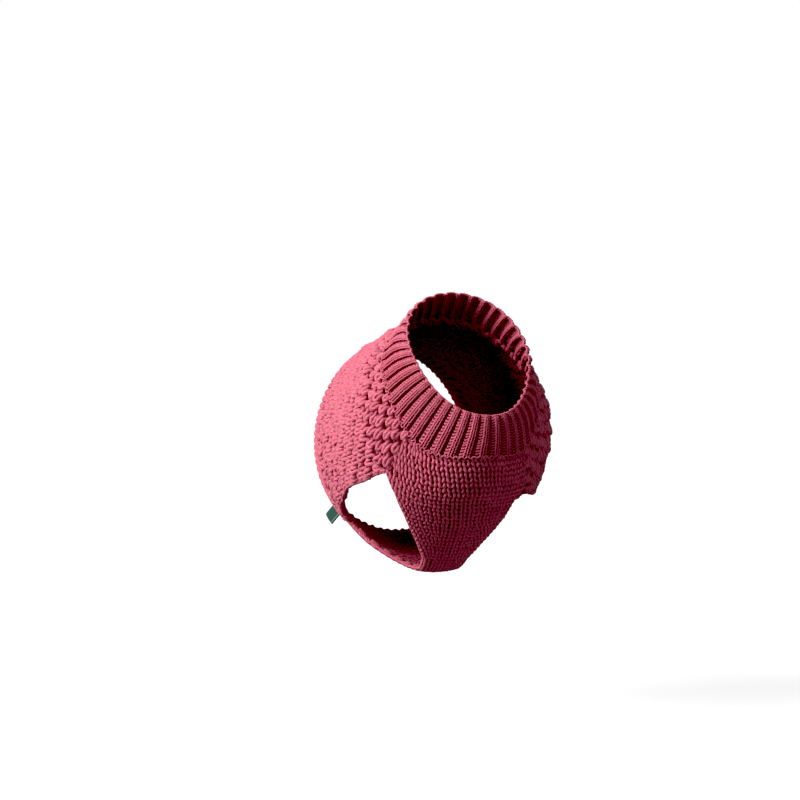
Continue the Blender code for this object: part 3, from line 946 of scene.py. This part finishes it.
def make_label(material):
    """A folded tape: one strip that runs out of the side seam, round its fold and back."""
    along, out, thick = LABEL_SIZE
    angle = math.pi + edge_angle("back_right", LABEL_STATION)
    root, normal, around, run = surface(angle, np.array(LABEL_STATION))
    away = unit(normal - around * LABEL_SAG)
    over = np.cross(run, away)
    bend = (thick - LABEL_TAPE) / 2
    reach = out + LABEL_ROOT - thick / 2
    way_out = np.linspace(0, reach, LABEL_STEPS)
    half_turn = np.linspace(0, math.pi, LABEL_STEPS)
    way_back = np.linspace(reach, 0, LABEL_STEPS)
    path = np.concatenate([
        np.stack([way_out, np.full_like(way_out, bend)], axis=1)[:-1],
        np.stack([reach + bend * np.sin(half_turn), bend * np.cos(half_turn)], axis=1),
        np.stack([way_back, np.full_like(way_back, -bend)], axis=1)[1:]])
    slope = unit(np.gradient(path, axis=0))
    outwards = np.stack([-slope[:, 1], slope[:, 0]], axis=1)
    wide = np.linspace(-1, 1, LABEL_COLUMNS)
    points, uvs = [], []
    for side in (1, -1):
        skin = path + outwards * side * LABEL_TAPE / 2
        for n, (far, high) in enumerate(skin):
            curl = LABEL_CURL * (far / reach)**2 * (1 - wide**2 * LABEL_CURL_FALL)
            place = (root[None] + np.outer(wide, run) * along / 2
                     + away * (far - LABEL_ROOT) + np.outer(high + curl, over))
            points.extend(place)
            uvs.extend((w / 2 + 0.5, n / (len(path) - 1)) for w in wide)
    mesh = bpy.data.meshes.new("label_tape")
    mesh.from_pydata([tuple(p) for p in points], [], slab_faces(len(path), len(wide)))
    layer = mesh.uv_layers.new(name="tape")
    for corner in mesh.loops:
        layer.data[corner.index].uv = uvs[corner.vertex_index]
    mesh.shade_smooth()
    mesh.materials.append(material)
    label = link(bpy.data.objects.new("label_tape", mesh))
    return place_piece(label, "label")


# ---------------------------------------------------------------- the view
CAMERA_TURN = math.radians(-20)
CAMERA_RISE = math.radians(5.5)
CAMERA_DISTANCE = 1.5
CAMERA_CLIP = (0.05, 30.0)
SENSOR = 36.0                        # mm
PIXEL = 0.00055                      # metres a pixel, in an 800 pixel frame
FRAME_PIXELS = 800
AIM = Vector((0.0, -0.027, -0.003))  # this point falls at AIM_PIXEL
AIM_PIXEL = (442, 334)
FLOOR_Z = -0.218
FLOOR_GREY = (0.45, 0.45, 0.45)
FLOOR_GLOW_REACH = (0.15, 1.6)       # the glow grows between these distances, metres
FLOOR_GLOW = (0.72, 1.0)
BACKDROP_RADIUS = 5.5
BLACK_POINT = 0.029                  # what shows as black
WORLD_COLOUR = (1.0, 0.94, 0.96)
WORLD_STRENGTH = 0.12
LIGHT_CENTRE = Vector((0, -0.01, -0.05))
# The lights look at that centre. towards is in camera right, up and back, distance
# and size are in metres, and power in watts.
Light = namedtuple("Light", "name towards distance size power")
LIGHTS = (
    Light("key", (-0.80, 0.50, 0.33), 1.0, 0.70, 23.0),
    Light("fill", (0.22, 0.30, 0.95), 1.4, 0.50, 1.7),
    Light("top", (0.45, 0.78, 0.42), 1.2, 0.25, 1.9),
    Light("side", (0.72, -0.50, 0.48), 1.2, 0.25, 1.1),
    Light("back", (0.40, 0.30, -0.86), 1.3, 0.80, 5.0),
    Light("bounce", (-0.30, -0.60, 0.70), 1.2, 0.90, 2.2),
)


def camera_axes():
    back = Vector((math.sin(CAMERA_TURN) * math.cos(CAMERA_RISE),
                   -math.cos(CAMERA_TURN) * math.cos(CAMERA_RISE), math.sin(CAMERA_RISE)))
    right = Vector((math.cos(CAMERA_TURN), math.sin(CAMERA_TURN), 0))
    return right, back.cross(right), back


def make_camera():
    right, up, back = camera_axes()
    data = bpy.data.cameras.new("camera")
    data.sensor_width = SENSOR
    data.lens = SENSOR * CAMERA_DISTANCE / (FRAME_PIXELS * PIXEL)
    data.clip_start, data.clip_end = CAMERA_CLIP
    camera = link(bpy.data.objects.new("camera", data))
    target = (AIM - right * (AIM_PIXEL[0] - FRAME_PIXELS / 2) * PIXEL
              - up * (FRAME_PIXELS / 2 - AIM_PIXEL[1]) * PIXEL)
    turned = Matrix((right, up, back)).transposed().to_4x4()
    camera.matrix_world = Matrix.Translation(target + back * CAMERA_DISTANCE) @ turned
    bpy.context.scene.camera = camera


def make_light(light):
    """A soft round light that looks at the garment."""
    right, up, back = camera_axes()
    x, y, z = light.towards
    direction = (right * x + up * y + back * z).normalized()
    data = bpy.data.lights.new(light.name, "AREA")
    data.shape = "DISK"
    data.size = light.size
    data.energy = light.power
    lamp = link(bpy.data.objects.new(light.name, data))
    lamp.location = LIGHT_CENTRE + direction * light.distance
    lamp.rotation_mode = "QUATERNION"
    lamp.rotation_quaternion = direction.to_track_quat("Z", "Y")


def make_floor():
    """A pale floor whose own glow grows away from the middle, into the backdrop."""
    bpy.ops.mesh.primitive_circle_add(vertices=96, radius=BACKDROP_RADIUS, fill_type="NGON",
                                      location=(0, 0, FLOOR_Z))
    floor = bpy.context.object
    floor.name = "floor"
    material, tree, shader = new_material("pale_floor", FLOOR_GREY, FLOOR_FINISH)
    place = node(tree, "ShaderNodeTexCoord")
    distance = node(tree, "ShaderNodeVectorMath", operation="LENGTH")
    tree.links.new(place.outputs["Object"], distance.inputs[0])
    glow = map_range(tree, distance.outputs["Value"], *FLOOR_GLOW_REACH, *FLOOR_GLOW)
    shader.inputs["Emission Color"].default_value = (1, 1, 1, 1)
    tree.links.new(glow, shader.inputs["Emission Strength"])
    floor.data.materials.append(material)
    floor.visible_diffuse = floor.visible_glossy = floor.visible_shadow = False


def make_backdrop():
    """A white dome behind everything, seen by the camera alone."""
    bpy.ops.mesh.primitive_uv_sphere_add(segments=48, ring_count=24, radius=BACKDROP_RADIUS)
    dome = bpy.context.object
    dome.name = "backdrop"
    material, _, shader = new_material("white_backdrop", (0, 0, 0), BACKDROP_FINISH)
    shader.inputs["Emission Color"].default_value = (1, 1, 1, 1)
    shader.inputs["Emission Strength"].default_value = 1.0
    dome.data.materials.append(material)
    dome.visible_diffuse = dome.visible_glossy = dome.visible_transmission = False
    dome.visible_shadow = False


def make_world():
    world = bpy.data.worlds.new("studio")
    bpy.context.scene.world = world
    world.use_nodes = True
    background = world.node_tree.nodes["Background"]
    background.inputs["Color"].default_value = (*WORLD_COLOUR, 1)
    background.inputs["Strength"].default_value = WORLD_STRENGTH
    view = bpy.context.scene.view_settings
    view.view_transform = "Standard"
    view.look = "None"
    view.use_curve_mapping = True
    view.curve_mapping.black_level = (BLACK_POINT,) * 3


make_camera()
make_world()
make_floor()
make_backdrop()
for light in LIGHTS:
    make_light(light)

rib_yarn = yarn_material("rib_yarn", RIB_YARN)
back_yarn = yarn_material("bulky_yarn", BULKY_YARN)
front_yarn = yarn_material("plain_yarn", PLAIN_YARN)
painted_shade_cloth = backing_material("painted_shade_cloth", SHADE_CLOTH_ROSE)

# The order matters, because all pieces draw their random numbers from one stream.
collar = make_collar(rib_yarn, painted_shade_cloth)
collar.trims.append(make_collar_seam(rib_yarn))
back = make_back(back_yarn, painted_shade_cloth)
front = make_front(front_yarn, painted_shade_cloth)
hem = make_hem(rib_yarn, painted_shade_cloth)
label = make_label(label_material())
